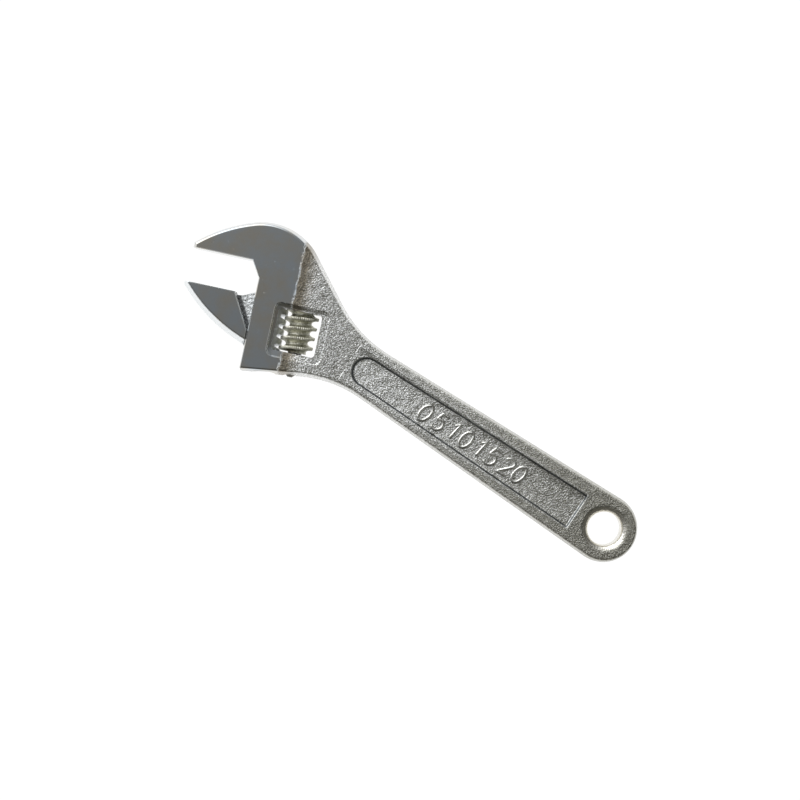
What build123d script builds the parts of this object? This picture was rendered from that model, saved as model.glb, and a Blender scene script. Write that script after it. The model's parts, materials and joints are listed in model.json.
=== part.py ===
from build123d import *
import math
import os

# Adjustable wrench, nominal size 150 mm. Its five pieces are the forged body with the fixed jaw
# and the handle, the movable jaw with its rack, the adjusting worm, the pin that the worm turns
# on, and the small spring that keeps the worm from rattling.
#
# Everything is drawn in the head's own frame, in millimetres. Its origin is on the worm's axis,
# in the middle of the worm window and in the mid-plane of the wrench. X runs along the jaw faces,
# away from their tips. Y runs along the worm, towards the fixed jaw, and is the way that the
# movable jaw slides. Z goes through the thickness. At the end main() turns the handle along X.

# ---- the whole wrench
HEAD_ANGLE = 21.3  # between the jaw faces and the handle, in degrees
HEAD_THICKNESS = 11.0
HANDLE_THICKNESS = 8.0
DRAFT = 10.0  # slope of the forged sides from the parting plane, in degrees
REACH = 60.0  # longer than any cut needs to be
FACING_UP = 0.8  # least upward part of the normal of a face that counts as a top
FACING_DOWN = -0.5  # a face counts as a bottom below this
FLAT_TOLERANCE = 0.01

# ---- fixed jaw and the back of the head
JAW_FACE_Y = 18.0
TIP_X = -35.6
TIP_HEIGHT = 1.7  # of the blunt end of the fixed jaw
CROWN = (-6.0, 31.3)  # where the jaw's curved back would meet the straight back of the head
BACK_SLOPE = 50.5  # of the straight back of the head, in degrees
JAW_BACK_RADIUS = 44.5
CROWN_RADIUS = 18.4
TIP_RADIUS = 0.7

# ---- throat, which is open to the front
FRONT_X = -14.5  # flat front of the head, which the movable jaw slides along
THROAT_X = -17.4  # inner end of the fixed jaw's face
THROAT_KNEE_Y = 13.1  # where the throat's slope meets the flat front
BOTTOM_TIP = (-17.5, -15.0)
BOTTOM_SLOPE = 7.5  # of the head's lower edge, in degrees

# ---- handle
HANDLE_TAPER = 1.65  # of each edge from the centre line, in degrees
END_RADIUS = 10.0
HOLE_X = 99.3
HOLE_Y = -36.9
HOLE_RADIUS = 4.9
HOLE_ROUNDING = 1.5
UPPER_NECK_RADIUS = 37.0
LOWER_NECK_RADIUS = 36.0
GROUND_EDGE_X = -3.2  # the ground faces of the head end here
NECK_END_X = 27.0  # the thickness has come down to the handle's from here on
EDGE_RADIUS = 0.7

# ---- recessed panel on each side of the handle, along the handle from the hanging hole
PANEL_NEAR = 9.3
PANEL_FAR = 82.9  # centre of its round end
PANEL_HALF_NEAR = 5.65
PANEL_HALF_FAR = 4.4
PANEL_OFFSET = -0.25  # of its middle from the handle's
PANEL_DEPTH = 0.9
PANEL_WALL_SLOPE = 30.0  # of its walls, from upright
PANEL_CORNER = 0.6
PANEL_LIP_RADIUS = 0.35
PANEL_FOOT_RADIUS = 0.2

# ---- worm, its window and the pin
PITCH = 2.9
WORM_RADIUS = 5.0
WORM_BOTTOM = -5.75
WORM_TOP = 6.2
GROOVE_WIDTH = 2.1
GROOVE_FLOOR_RADIUS = 3.15
CREST_Y = -0.85  # height of a crest on the handle's side of the worm
GROOVE_STEPS = 12  # points that its rounded outline is drawn through
WINDOW_LEFT = -7.0
WINDOW_RIGHT = 6.0
WINDOW_HALF_HEIGHT = 6.25
WINDOW_CORNER = 1.0
WINDOW_STEP = 0.35  # depth of the ledge around it, at the ledge's outer edge
WINDOW_LEDGE_DEPTH = 0.45  # and at its inner edge, where the opening starts
WINDOW_STEP_WIDTH = 0.3
RIM_LEFT = -8.1  # where the ledge's step meets the face of the head
RIM_RIGHT = 8.1
RIM_BOTTOM = -8.2
RIM_TOP = 7.75
RIM_CORNER = 2.2
PIN_RADIUS = 1.4
PIN_TOP = 9.2
PIN_HEAD_RADIUS = 1.9
PIN_BOTTOM = -13.1  # a little proud of the head's lower edge
PIN_HEAD_CHAMFER = 1.2
PIN_POINT_CHAMFER = 0.3
PIN_END_SPACE = 0.4  # that its hole goes on beyond its point
PIN_SHOULDER_Y = -7.2  # underneath the bottom of the window
SLOT_WIDTH = 0.6
SLOT_DEPTH = 0.8
RUNNING_GAP = 0.05
FIXED_GAP = 0.02

# ---- spring, in a counterbore in the lower end of the worm
WIRE_RADIUS = 0.22
SPRING_RADIUS = 1.86  # to the middle of the wire
SPRING_COILS = 4
SPRING_TOP = -3.42
COUNTERBORE_RADIUS = 2.35
COUNTERBORE_TOP = -3.4

# ---- rail of the movable jaw, and the channel that it slides in
RAIL_X = -8.05
RAIL_RADIUS = 3.8
RAIL_BOTTOM = -12.3
RAIL_TOP = 13.4
RAIL_CHAMFER = 0.5
CHANNEL_RADIUS = 3.9
CHANNEL_TOP = 24.2
TOOTH_TIP_X = -4.25
TOOTH_ROOT_X = -6.1
TOOTH_TIP_WIDTH = 1.2
TOOTH_FLANK = 15.0  # slope of a tooth's side, in degrees
RACK_GAPS = 9

# ---- movable jaw
OPENING = 10.0
NECK_HALF_THICKNESS = 2.2
SLOT_HALF_THICKNESS = 2.3
SLOT_CLEARANCE = 0.3  # that the slot is longer than the web's travel
WEB_TOP = [(-20.2, 7.1), (-18.1, 7.4), (FRONT_X, 9.2), (RAIL_X, 12.8)]
WEB_BOTTOM = [(RAIL_X, -11.3), (FRONT_X, -7.4), (-16, -5.4)]
JAW_GAP = 0.25  # between the jaw and the flat front of the head
JAW_TIP_X = -35.8
JAW_HEEL_X = -20.5  # rear end of its face
JAW_HEEL_Y = -2.4  # where the heel meets the flat that slides along the head
JAW_BELLY_START = (-40.0, 12.2)  # its curved lower side starts beyond the tip
JAW_BELLY_MIDDLE = (-28.7, 0.45)
JAW_BELLY_END = (-14.7, -6.8)
JAW_EDGE_RADIUS = 0.5
JAW_DRAFT = 16.0
JAW_BLANK_RIGHT = -5.0  # the jaw's forging, before it is cut straight, ends here
JAW_BLANK_TOP = 16.0
MACHINED_CHAMFER = 0.25


def facing_up(edges):
    """The flat face inside a closed run of edges, with its front towards +Z."""
    face = make_face(Curve() + edges).face()
    return face if face.normal_at().Z > 0 else -face


def corner(face, point):
    """The vertex of a face nearest to a point."""
    return face.vertices().sort_by_distance(Vector(*point))[0]


def rotated(x, y, degrees):
    """A vector turned anticlockwise."""
    return Vector(x, y).rotate(Axis.Z, degrees)


def meeting(point_a, slope_a, point_b, slope_b):
    """Where two lines cross. Each is a point and its slope in degrees."""
    tan_a = math.tan(math.radians(slope_a))
    tan_b = math.tan(math.radians(slope_b))
    x = (point_b[1] - point_a[1] + tan_a * point_a[0] - tan_b * point_b[0]) / (tan_a - tan_b)
    return (x, point_a[1] + tan_a * (x - point_a[0]))


def on_handle(along, across, height=0.0):
    """A point measured from the hanging hole: along is towards the head, across is upwards."""
    point = rotated(-along, across, -HEAD_ANGLE)
    return Vector(HOLE_X + point.X, HOLE_Y + point.Y, height)


def forging_outline():
    """The outline of the body in its parting plane, before the throat is cut."""
    upper_slope = HANDLE_TAPER - HEAD_ANGLE
    lower_slope = -HANDLE_TAPER - HEAD_ANGLE
    end_top = Vector(HOLE_X, HOLE_Y) + rotated(0, END_RADIUS, upper_slope)
    end_bottom = Vector(HOLE_X, HOLE_Y) + rotated(0, -END_RADIUS, lower_slope)
    end_far = Vector(HOLE_X, HOLE_Y) + rotated(END_RADIUS, 0, -HEAD_ANGLE)
    neck_top = meeting(CROWN, -BACK_SLOPE, (end_top.X, end_top.Y), upper_slope)
    neck_bottom = meeting(BOTTOM_TIP, BOTTOM_SLOPE, (end_bottom.X, end_bottom.Y), lower_slope)
    tip = (TIP_X, JAW_FACE_Y + TIP_HEIGHT)
    tip_foot = (TIP_X, JAW_FACE_Y - 2)
    edges = [
        Line(tip_foot, tip),
        RadiusArc(tip, CROWN, JAW_BACK_RADIUS),
        Line(CROWN, neck_top),
        Line(neck_top, end_top),
        ThreePointArc(end_top, end_far, end_bottom),
        Line(end_bottom, neck_bottom),
        Line(neck_bottom, BOTTOM_TIP),
        Line(BOTTOM_TIP, tip_foot),
    ]
    face = facing_up(edges)
    for point, radius in (
        (tip, TIP_RADIUS),
        (CROWN, CROWN_RADIUS),
        (neck_top, UPPER_NECK_RADIUS),
        (neck_bottom, LOWER_NECK_RADIUS),
    ):
        face = fillet(corner(face, point), radius)
    return face


def both_sides(solid):
    """A solid and its mirror image in the mid-plane."""
    return solid + mirror(solid, about=Plane.XY)


def tapered(face, height, slope):
    """An upward extrusion of a face at height 0. Its sides lean inwards by the slope in degrees."""
    solid = extrude(face, height, taper=slope)
    if solid.bounding_box().max.Z < height / 2:
        solid = mirror(solid, about=Plane.XY)
    return solid


def prism(points):
    """A straight prism through the whole thickness, over a polygon."""
    return extrude(make_face(Polyline(*points, close=True)), REACH, both=True)


def slab(points, half_thickness):
    """A prism over a polygon, with the given half thickness about the mid-plane."""
    return extrude(make_face(Polyline(*points, close=True)), half_thickness, both=True)


def along_y(x, bottom, top, radius):
    """A cylinder whose axis is parallel to the worm's."""
    plane = Plane(origin=(x, bottom, 0), z_dir=(0, 1, 0))
    return extrude(plane * Circle(radius), top - bottom)


def rims(solid):
    """The edges where the sloping sides of a half forging meet its top."""
    sides = set()
    tops = set()
    for face in solid.faces():
        slope = face.normal_at().Z
        group = tops if slope > FACING_UP else sides
        if slope > FACING_DOWN:
            group.update(face.edges())
    return ShapeList(sides & tops)


def panel_lip(half):
    """The edges where the panel's walls meet the upper side of the handle."""
    level = HANDLE_THICKNESS / 2
    wall_slope = math.sin(math.radians(PANEL_WALL_SLOPE))
    walls = set()
    tops = set()
    for face in half.faces():
        slope = face.normal_at().Z
        if abs(slope - wall_slope) < FLAT_TOLERANCE and face.center().Z > level - PANEL_DEPTH:
            walls.update(face.edges())
        elif slope > FACING_UP and face.bounding_box().max.Z > level - FLAT_TOLERANCE:
            tops.update(face.edges())
    return ShapeList(walls & tops)


def thickness_profile():
    """The upper half of the space that the body fills, seen from its lower edge."""
    top = HEAD_THICKNESS / 2
    start = (GROUND_EDGE_X, 0, top)
    end = (NECK_END_X, 0, HANDLE_THICKNESS / 2)
    slope = Spline(start, end, tangents=[(1, 0, -0.04), (1, 0, 0)])
    edges = [
        Line((-REACH, 0, 0), (-REACH, 0, top)),
        Line((-REACH, 0, top), start),
        slope,
        Line(end, (2 * REACH, 0, HANDLE_THICKNESS / 2)),
        Line((2 * REACH, 0, HANDLE_THICKNESS / 2), (2 * REACH, 0, 0)),
        Line((2 * REACH, 0, 0), (-REACH, 0, 0)),
    ]
    return extrude(make_face(Curve() + edges), REACH, both=True)


def forging():
    """The body as it leaves the hammer, before anything is machined."""
    half = tapered(forging_outline(), HEAD_THICKNESS, DRAFT) & thickness_profile()
    half = fillet(rims(half), EDGE_RADIUS) - panel()
    half = fillet(panel_lip(half), PANEL_LIP_RADIUS)
    return both_sides(half)


def throat():
    """The space in front of the head: between the jaws and along the flat front."""
    return prism([
        (TIP_X - REACH, JAW_FACE_Y),
        (THROAT_X, JAW_FACE_Y),
        (FRONT_X, THROAT_KNEE_Y),
        (FRONT_X, -REACH),
        (TIP_X - REACH, -REACH),
    ])


def rounded_box(left, right, bottom, top, radius, height):
    """A rectangle with round corners, lying at a height."""
    middle = Pos((left + right) / 2, (bottom + top) / 2, height)
    return middle * RectangleRounded(right - left, top - bottom, radius)


def window():
    """The opening that the worm sits in, with a sloping ledge around it on both sides."""
    top = HEAD_THICKNESS / 2
    step = WINDOW_STEP_WIDTH
    edge = (WINDOW_LEFT, WINDOW_RIGHT, -WINDOW_HALF_HEIGHT, WINDOW_HALF_HEIGHT, WINDOW_CORNER)
    rim = (RIM_LEFT, RIM_RIGHT, RIM_BOTTOM, RIM_TOP, RIM_CORNER)
    foot = (RIM_LEFT + step, RIM_RIGHT - step, RIM_BOTTOM + step, RIM_TOP - step, RIM_CORNER - step)
    opening = extrude(rounded_box(*edge, 0), REACH, both=True)
    ledge = loft([rounded_box(*edge, top - WINDOW_LEDGE_DEPTH), rounded_box(*foot, top - WINDOW_STEP)])
    wall = loft([rounded_box(*foot, top - WINDOW_STEP), rounded_box(*rim, top)])
    return opening + both_sides(ledge + wall)


def web_top(lift):
    """The upper edge of the web between the movable jaw and its rail, raised by a distance."""
    return [(x, y + lift) for x, y in WEB_TOP]


def rail_channel():
    """The bore that the rail slides in, and the slot that its web slides in."""
    bore = along_y(RAIL_X, -REACH, CHANNEL_TOP, CHANNEL_RADIUS)
    top = web_top(OPENING + SLOT_CLEARANCE)[1:]
    slot = slab(top + [(RAIL_X, -REACH), (top[0][0], -REACH)], SLOT_HALF_THICKNESS)
    return bore + slot


def pin_hole():
    """The stepped hole that the worm's pin is pushed into from below."""
    shank = along_y(0, PIN_SHOULDER_Y, PIN_TOP + PIN_END_SPACE, PIN_RADIUS + FIXED_GAP)
    head = along_y(0, -REACH, PIN_SHOULDER_Y + FIXED_GAP, PIN_HEAD_RADIUS + FIXED_GAP)
    return shank + head


def panel():
    """The recess in the upper side of the handle, tapering towards the head."""
    near_low = on_handle(PANEL_NEAR, PANEL_OFFSET - PANEL_HALF_NEAR)
    near_high = on_handle(PANEL_NEAR, PANEL_OFFSET + PANEL_HALF_NEAR)
    far_low = on_handle(PANEL_FAR, PANEL_OFFSET - PANEL_HALF_FAR)
    far_high = on_handle(PANEL_FAR, PANEL_OFFSET + PANEL_HALF_FAR)
    far_end = on_handle(PANEL_FAR + PANEL_HALF_FAR, PANEL_OFFSET)
    edges = [
        Line(far_high, near_high),
        Line(near_high, near_low),
        Line(near_low, far_low),
        ThreePointArc(far_low, far_end, far_high),
    ]
    outline = facing_up(edges)
    for point in (near_low, near_high):
        outline = fillet(corner(outline, (point.X, point.Y)), PANEL_CORNER)
    level = HANDLE_THICKNESS / 2 - PANEL_DEPTH
    shrink = PANEL_DEPTH * math.tan(math.radians(PANEL_WALL_SLOPE))
    floor = offset(outline, -shrink, kind=Kind.INTERSECTION)
    recess = tapered(floor, 2 * PANEL_DEPTH, -PANEL_WALL_SLOPE)
    recess = fillet(recess.faces().sort_by(Axis.Z)[0].edges(), PANEL_FOOT_RADIUS)
    return Pos(0, 0, level) * recess


def hanging_hole():
    """The hole through the end of the handle, flaring out in a quarter circle at each rim."""
    top = HANDLE_THICKNESS / 2
    start = top - HOLE_ROUNDING
    rim = HOLE_RADIUS + HOLE_ROUNDING
    diagonal = HOLE_ROUNDING * math.sqrt(0.5)
    bulge = (rim - diagonal, 0, start + diagonal)
    edges = [
        Line((0, 0, -1), (HOLE_RADIUS, 0, -1)),
        Line((HOLE_RADIUS, 0, -1), (HOLE_RADIUS, 0, start)),
        ThreePointArc((HOLE_RADIUS, 0, start), bulge, (rim, 0, top)),
        Line((rim, 0, top), (rim, 0, 2 * top)),
        Line((rim, 0, 2 * top), (0, 0, 2 * top)),
        Line((0, 0, 2 * top), (0, 0, -1)),
    ]
    half = revolve(make_face(Curve() + edges), Axis.Z)
    return Pos(HOLE_X, HOLE_Y) * both_sides(half)


def sharp_edges(solid):
    """The straight edges of the ground faces that a straight cut has left in front."""
    level = HEAD_THICKNESS / 2
    return solid.edges().filter_by(GeomType.LINE).filter_by(
        lambda edge: abs(abs(edge.center().Z) - level) < FLAT_TOLERANCE
        and edge.center().X < FRONT_X + FLAT_TOLERANCE
        and edge.center().Y < JAW_FACE_Y + FLAT_TOLERANCE
    )


def wrench_body():
    """The forged body, machined."""
    body = forging() - throat()
    body = chamfer(sharp_edges(body), MACHINED_CHAMFER)
    for cut in (hanging_hole(), window(), rail_channel(), pin_hole()):
        body -= cut
    return body


def jaw_block():
    """The gripping end of the movable jaw: a forging cut straight on its face and heel."""
    top_left = (JAW_BELLY_START[0], JAW_BLANK_TOP)
    top_right = (JAW_BLANK_RIGHT, JAW_BLANK_TOP)
    bottom_right = (JAW_BLANK_RIGHT, JAW_BELLY_END[1])
    edges = [
        Line(top_left, JAW_BELLY_START),
        Spline(JAW_BELLY_START, JAW_BELLY_MIDDLE, JAW_BELLY_END),
        Line(JAW_BELLY_END, bottom_right),
        Line(bottom_right, top_right),
        Line(top_right, top_left),
    ]
    half = tapered(facing_up(edges), HEAD_THICKNESS / 2, JAW_DRAFT)
    half = fillet(rims(half).filter_by(GeomType.LINE, reverse=True), JAW_EDGE_RADIUS)
    face_y = JAW_FACE_Y - OPENING
    front = FRONT_X - JAW_GAP
    machined = prism([
        (JAW_TIP_X, face_y),
        (JAW_HEEL_X, face_y),
        (front, JAW_HEEL_Y),
        (front, -REACH),
        (JAW_TIP_X, -REACH),
    ])
    block = both_sides(half) & machined
    return chamfer(sharp_edges(block), MACHINED_CHAMFER)


def rack_groove(y):
    """One gap between two rack teeth, leaning with the worm's thread."""
    flare = math.tan(math.radians(TOOTH_FLANK))
    tip_gap = (PITCH - TOOTH_TIP_WIDTH) / 2
    floor_gap = tip_gap - (TOOTH_TIP_X - TOOTH_ROOT_X) * flare
    mouth_gap = tip_gap + flare
    profile = make_face(Polyline(
        (TOOTH_ROOT_X, -floor_gap),
        (TOOTH_ROOT_X, floor_gap),
        (TOOTH_TIP_X + 1, mouth_gap),
        (TOOTH_TIP_X + 1, -mouth_gap),
        close=True,
    ))
    cut = extrude(profile, RAIL_RADIUS, both=True)
    lead_angle = math.degrees(math.atan(PITCH / (2 * math.pi * -TOOTH_TIP_X)))
    return Pos(0, y, 0) * Rot(-lead_angle, 0, 0) * cut


def movable_jaw():
    """The jaw block, its web and its rail, which are one forging."""
    rail = along_y(RAIL_X, RAIL_BOTTOM, RAIL_TOP, RAIL_RADIUS)
    rail = chamfer(rail.edges().filter_by(GeomType.CIRCLE), RAIL_CHAMFER)
    web = slab(web_top(0) + WEB_BOTTOM, NECK_HALF_THICKNESS)
    jaw = jaw_block() + web + rail
    first_gap = CREST_Y + PITCH / 2 - RACK_GAPS // 2 * PITCH
    for index in range(RACK_GAPS):
        jaw -= rack_groove(first_gap + index * PITCH)
    return jaw


def worm_section():
    """A cut across the worm: a disc whose rim dips into the groove once in every turn.

    The groove is half an ellipse, with its half-width along the worm and its depth towards the
    axis. A place along the worm is drawn here as an angle round it, a whole turn to each pitch.
    """
    half = GROOVE_WIDTH / 2
    depth = WORM_RADIUS - GROOVE_FLOOR_RADIUS
    points = []
    for step in range(GROOVE_STEPS + 1):
        lean = math.pi * (step / GROOVE_STEPS - 0.5)
        turn = 2 * math.pi * (0.5 + half * math.sin(lean) / PITCH)
        radius = WORM_RADIUS - depth * math.cos(lean)
        points.append((radius * math.cos(turn), radius * math.sin(turn)))
    crest = ThreePointArc(points[-1], (WORM_RADIUS, 0), points[0])
    return facing_up([Spline(*points), crest])


def adjusting_worm():
    """The worm: its section carried up and turned like a screw, then bored for the pin."""
    length = WORM_TOP - WORM_BOTTOM
    first_turn = 360 * (WORM_BOTTOM - CREST_Y) / PITCH
    section = Rot(0, 0, first_turn) * worm_section()
    worm = Solid.extrude_linear_with_rotation(
        section=section.face(),
        center=(0, 0, 0),
        normal=(0, 0, length),
        angle=360 * length / PITCH,
    )
    worm = Part() + Pos(0, 0, WORM_BOTTOM) * worm
    worm -= Cylinder(PIN_RADIUS + RUNNING_GAP, REACH)
    bore_height = COUNTERBORE_TOP - WORM_BOTTOM
    middle = COUNTERBORE_TOP - bore_height
    worm -= Pos(0, 0, middle) * Cylinder(COUNTERBORE_RADIUS, 2 * bore_height)
    return Rot(-90, 0, 0) * worm


def worm_pin():
    """The pin, with its slotted head in the lower wall of the window."""
    shank = along_y(0, PIN_SHOULDER_Y, PIN_TOP, PIN_RADIUS)
    head = along_y(0, PIN_BOTTOM, PIN_SHOULDER_Y, PIN_HEAD_RADIUS)
    shank = chamfer(shank.edges().filter_by(GeomType.CIRCLE).sort_by(Axis.Y)[-1], PIN_POINT_CHAMFER)
    head = chamfer(head.edges().filter_by(GeomType.CIRCLE).sort_by(Axis.Y)[0], PIN_HEAD_CHAMFER)
    slot = Pos(0, PIN_BOTTOM, 0) * Box(2 * REACH, 2 * SLOT_DEPTH, SLOT_WIDTH)
    return shank + head - slot


def worm_spring():
    """The spring around the pin, standing on the lower wall of the window."""
    bottom = -WINDOW_HALF_HEIGHT + WIRE_RADIUS
    height = SPRING_TOP - WIRE_RADIUS - bottom
    path = Helix(height / SPRING_COILS, height, SPRING_RADIUS, center=(0, 0, bottom))
    wire = sweep(Plane(path @ 0, z_dir=path % 0) * Circle(WIRE_RADIUS), path, is_frenet=True)
    return Rot(-90, 0, 0) * wire


def main():
    """Make every piece, turn the handle along X and write the pieces out."""
    pieces = {
        "wrench_body": wrench_body(),
        "movable_jaw": movable_jaw(),
        "adjusting_worm": adjusting_worm(),
        "worm_pin": worm_pin(),
        "worm_spring": worm_spring(),
    }
    turned = {name: Rot(0, 0, HEAD_ANGLE) * piece for name, piece in pieces.items()}
    box = Compound(children=[Compound(piece.solids()) for piece in turned.values()]).bounding_box()
    origin = Vector((box.min.X + box.max.X) / 2, (box.min.Y + box.max.Y) / 2, box.min.Z)
    print("head frame's origin:", -origin)
    print("size:", box.size)
    os.makedirs("parts", exist_ok=True)
    for name, piece in turned.items():
        placed = Pos(-origin) * piece
        placed.label = name
        export_step(placed, f"parts/{name}.step")
        print(name, len(placed.solids()), placed.is_valid, round(placed.volume, 1))


if __name__ == "__main__":
    main()
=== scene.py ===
# %% [markdown]
# # An adjustable wrench and its finish
#
# The CAD model brings five pieces: the forged body, the movable jaw, the adjusting worm, the pin
# that the worm turns on and a small spring. Here they get what a machinist would call the finish:
# chrome over a rough forging, chrome over ground faces, the knurling of the worm, the coil of the
# spring and a raised scale of numbers in the handle's panel.

# %% Load the frame
import json
import math

import bmesh
import bpy
import numpy as np
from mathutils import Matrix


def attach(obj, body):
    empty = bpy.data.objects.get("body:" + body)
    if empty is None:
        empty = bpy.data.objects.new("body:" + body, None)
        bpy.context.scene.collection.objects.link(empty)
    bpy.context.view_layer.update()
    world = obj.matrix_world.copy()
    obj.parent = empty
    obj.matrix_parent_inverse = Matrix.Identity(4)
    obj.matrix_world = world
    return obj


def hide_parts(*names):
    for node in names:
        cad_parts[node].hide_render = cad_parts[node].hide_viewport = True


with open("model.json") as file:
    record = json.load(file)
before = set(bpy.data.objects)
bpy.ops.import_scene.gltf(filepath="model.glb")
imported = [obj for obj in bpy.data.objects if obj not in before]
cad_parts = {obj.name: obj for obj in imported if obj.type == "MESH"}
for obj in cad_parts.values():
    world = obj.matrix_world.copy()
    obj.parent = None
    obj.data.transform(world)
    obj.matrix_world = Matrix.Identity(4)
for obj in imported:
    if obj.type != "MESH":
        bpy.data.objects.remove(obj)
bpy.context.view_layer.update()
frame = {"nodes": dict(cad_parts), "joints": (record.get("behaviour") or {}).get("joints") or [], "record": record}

# %% [markdown]
# ## Places on the wrench
#
# The head of the wrench sits at an angle to its handle, so two sets of directions are handy. The
# handle runs along X. The head has its own pair: *slide*, the way the movable jaw travels towards
# the fixed one, and *reach*, along the jaws' faces towards the handle. Both could be typed in as
# angles, but the worm's joint already knows them, so they are read from the frame.

# %% Directions and centres
MM = 0.001
joints = {joint["name"]: joint for joint in frame["joints"]}
mounts = {mount["name"]: mount for mount in frame["record"]["mounts"]}
worm_centre = np.array(joints["worm_spin"]["pos_m"])
slide = np.array(joints["worm_spin"]["axis"])
reach = np.array([slide[1], -slide[0], 0.0])
up = np.array([0.0, 0.0, 1.0])
head_turn = math.atan2(reach[1], reach[0])
hole_centre = np.array(mounts["hanging_hole"]["pos_m"])
mid_height = worm_centre[2]
print("head turned", round(math.degrees(head_turn), 2), "degrees; hole at", hole_centre)

# %% [markdown]
# ## The camera
#
# The wrench lies flat and the camera looks straight down on it, as for a shop's catalogue. The
# camera is turned so that the handle runs down to the right. A long lens from 0.6 m keeps the
# perspective gentle, yet shows a little of the sides.

# %% Camera
CAMERA_TURN = math.radians(33.5)
CAMERA_HEIGHT = 0.6
VIEW_WIDTH = 0.2346
SENSOR = 36.0
VIEW_FROM_HOLE = (-70.4 * MM, -1.6 * MM)

camera_data = bpy.data.cameras.new("camera")
camera_data.sensor_width = SENSOR
camera_data.lens = SENSOR * CAMERA_HEIGHT / VIEW_WIDTH
camera = bpy.data.objects.new("camera", camera_data)
camera.location = (
    hole_centre[0] + VIEW_FROM_HOLE[0],
    hole_centre[1] + VIEW_FROM_HOLE[1],
    mid_height + CAMERA_HEIGHT,
)
camera.rotation_euler = (0.0, 0.0, CAMERA_TURN)
bpy.context.collection.objects.link(camera)
bpy.context.scene.camera = camera
bpy.context.scene.view_settings.view_transform = "Standard"
print("lens", round(camera_data.lens, 1), "mm")

# %% [markdown]
# ## Colours and nodes
#
# Paint and metal are easiest to name as sRGB hex values, the way a colour picker shows them, but
# light adds up in linear values. One function turns the first into the second. A second function
# adds a node with its settings and links, so that each material below reads as a list of steps.

# %% Helpers for colours and nodes


def linear(hex_colour):
    """The linear colour of an sRGB hex value: each channel goes through the sRGB curve."""
    channels = np.array([int(hex_colour[i:i + 2], 16) for i in (1, 3, 5)]) / 255
    curved = np.where(channels <= 0.04045, channels / 12.92, ((channels + 0.055) / 1.055) ** 2.4)
    return (*curved.tolist(), 1.0)


def connect(node, inputs):
    """Fills a node's sockets.

    An input is a plain value, the socket of another node, or a node, which gives the first of
    its outputs that is in use.
    """
    for socket, source in inputs.items():
        if isinstance(source, bpy.types.Node):
            source = next(output for output in source.outputs if output.enabled)
        if isinstance(source, bpy.types.NodeSocket):
            node.id_data.links.new(source, node.inputs[socket])
        else:
            node.inputs[socket].default_value = source


def add(tree, kind, inputs=None, stops=None, **settings):
    """Adds one node. Settings are its properties, and inputs are what its sockets get.

    Stops are (position, colour) pairs for a colour ramp, in order.
    """
    new = tree.nodes.new(kind)
    for name, value in settings.items():
        setattr(new, name, value)
    connect(new, inputs or {})
    for index, (position, colour) in enumerate(stops or []):
        elements = new.color_ramp.elements
        stop = elements[index] if index < 2 else elements.new(position)
        stop.position = position
        stop.color = colour
    return new


print("a mid grey in linear light is", round(linear("#808080")[0], 3))

# %% [markdown]
# ## Light
#
# Chrome has no colour of its own: it shows the room. So the light here is a room rather than a
# lamp. One great soft box stands on the side of the fixed jaw, the ceiling is dim, and the
# opposite side is almost dark. A flat face that looks straight up mirrors the dim ceiling and
# goes mid grey, while every slope that leans towards the soft box flashes. The walls are pale
# near the floor, which gives each cut edge a thin light line. Separate lamps would do it too, but
# a smooth room gives no hard spots and renders with little noise.

# %% The room
SOFT_BOX_AZIMUTH = 122.0  # in the camera's view, anticlockwise from its right
SOFT_BOX_ELEVATION = 28.0
FLOOR_GLOW = 0.8
FLOOR_GLOW_TOP = 0.26  # sine of the elevation where that glow ends
# Position 0 faces away from the soft box, 1 is its middle and the ceiling lies near 0.73.
ROOM_STOPS = [
    (0.0, (0.09, 0.088, 0.075, 1)),
    (0.52, (0.10, 0.098, 0.085, 1)),
    (0.66, (0.135, 0.133, 0.12, 1)),
    (0.77, (0.265, 0.267, 0.265, 1)),
    (0.84, (0.42, 0.425, 0.43, 1)),
    (1.0, (3.2, 3.24, 3.3, 1)),
]

azimuth = CAMERA_TURN + math.radians(SOFT_BOX_AZIMUTH)
elevation = math.radians(SOFT_BOX_ELEVATION)
towards_soft_box = (
    math.cos(azimuth) * math.cos(elevation),
    math.sin(azimuth) * math.cos(elevation),
    math.sin(elevation),
)

world = bpy.data.worlds.new("studio")
bpy.context.scene.world = world
world.use_nodes = True
tree = world.node_tree
tree.nodes.clear()
direction = add(tree, "ShaderNodeTexCoord").outputs["Generated"]
facing = add(tree, "ShaderNodeVectorMath", {0: direction, 1: towards_soft_box},
             operation="DOT_PRODUCT")
brightness = add(tree, "ShaderNodeMapRange", {"Value": facing, "From Min": -1.0, "From Max": 1.0})
room = add(tree, "ShaderNodeValToRGB", {"Fac": brightness}, stops=ROOM_STOPS)
height = add(tree, "ShaderNodeSeparateXYZ", {"Vector": direction}).outputs["Z"]
low_glow = add(tree, "ShaderNodeMapRange",
               {"Value": height, "From Min": FLOOR_GLOW_TOP, "From Max": 0.0, "To Max": FLOOR_GLOW})
lit_room = add(tree, "ShaderNodeMix", {"Factor": low_glow, "A": room, "B": linear("#ffffff")},
               data_type="RGBA", blend_type="ADD")
sky = add(tree, "ShaderNodeBackground", {"Color": lit_room})
add(tree, "ShaderNodeOutputWorld", {"Surface": sky})
print("soft box towards", [round(value, 2) for value in towards_soft_box])

# %% [markdown]
# The wrench lies on a light table: a white sheet that glows, so that it stays white around the
# tool and leaves no shadow. The forged sides lean out over it and mirror it, which draws a light
# line round the whole outline.

# %% The table
TABLE_SIZE = 3.0
TABLE_GAP = 0.5 * MM
TABLE_GLOW = 1.02  # a little over white, so that the sheet is white all over

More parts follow.
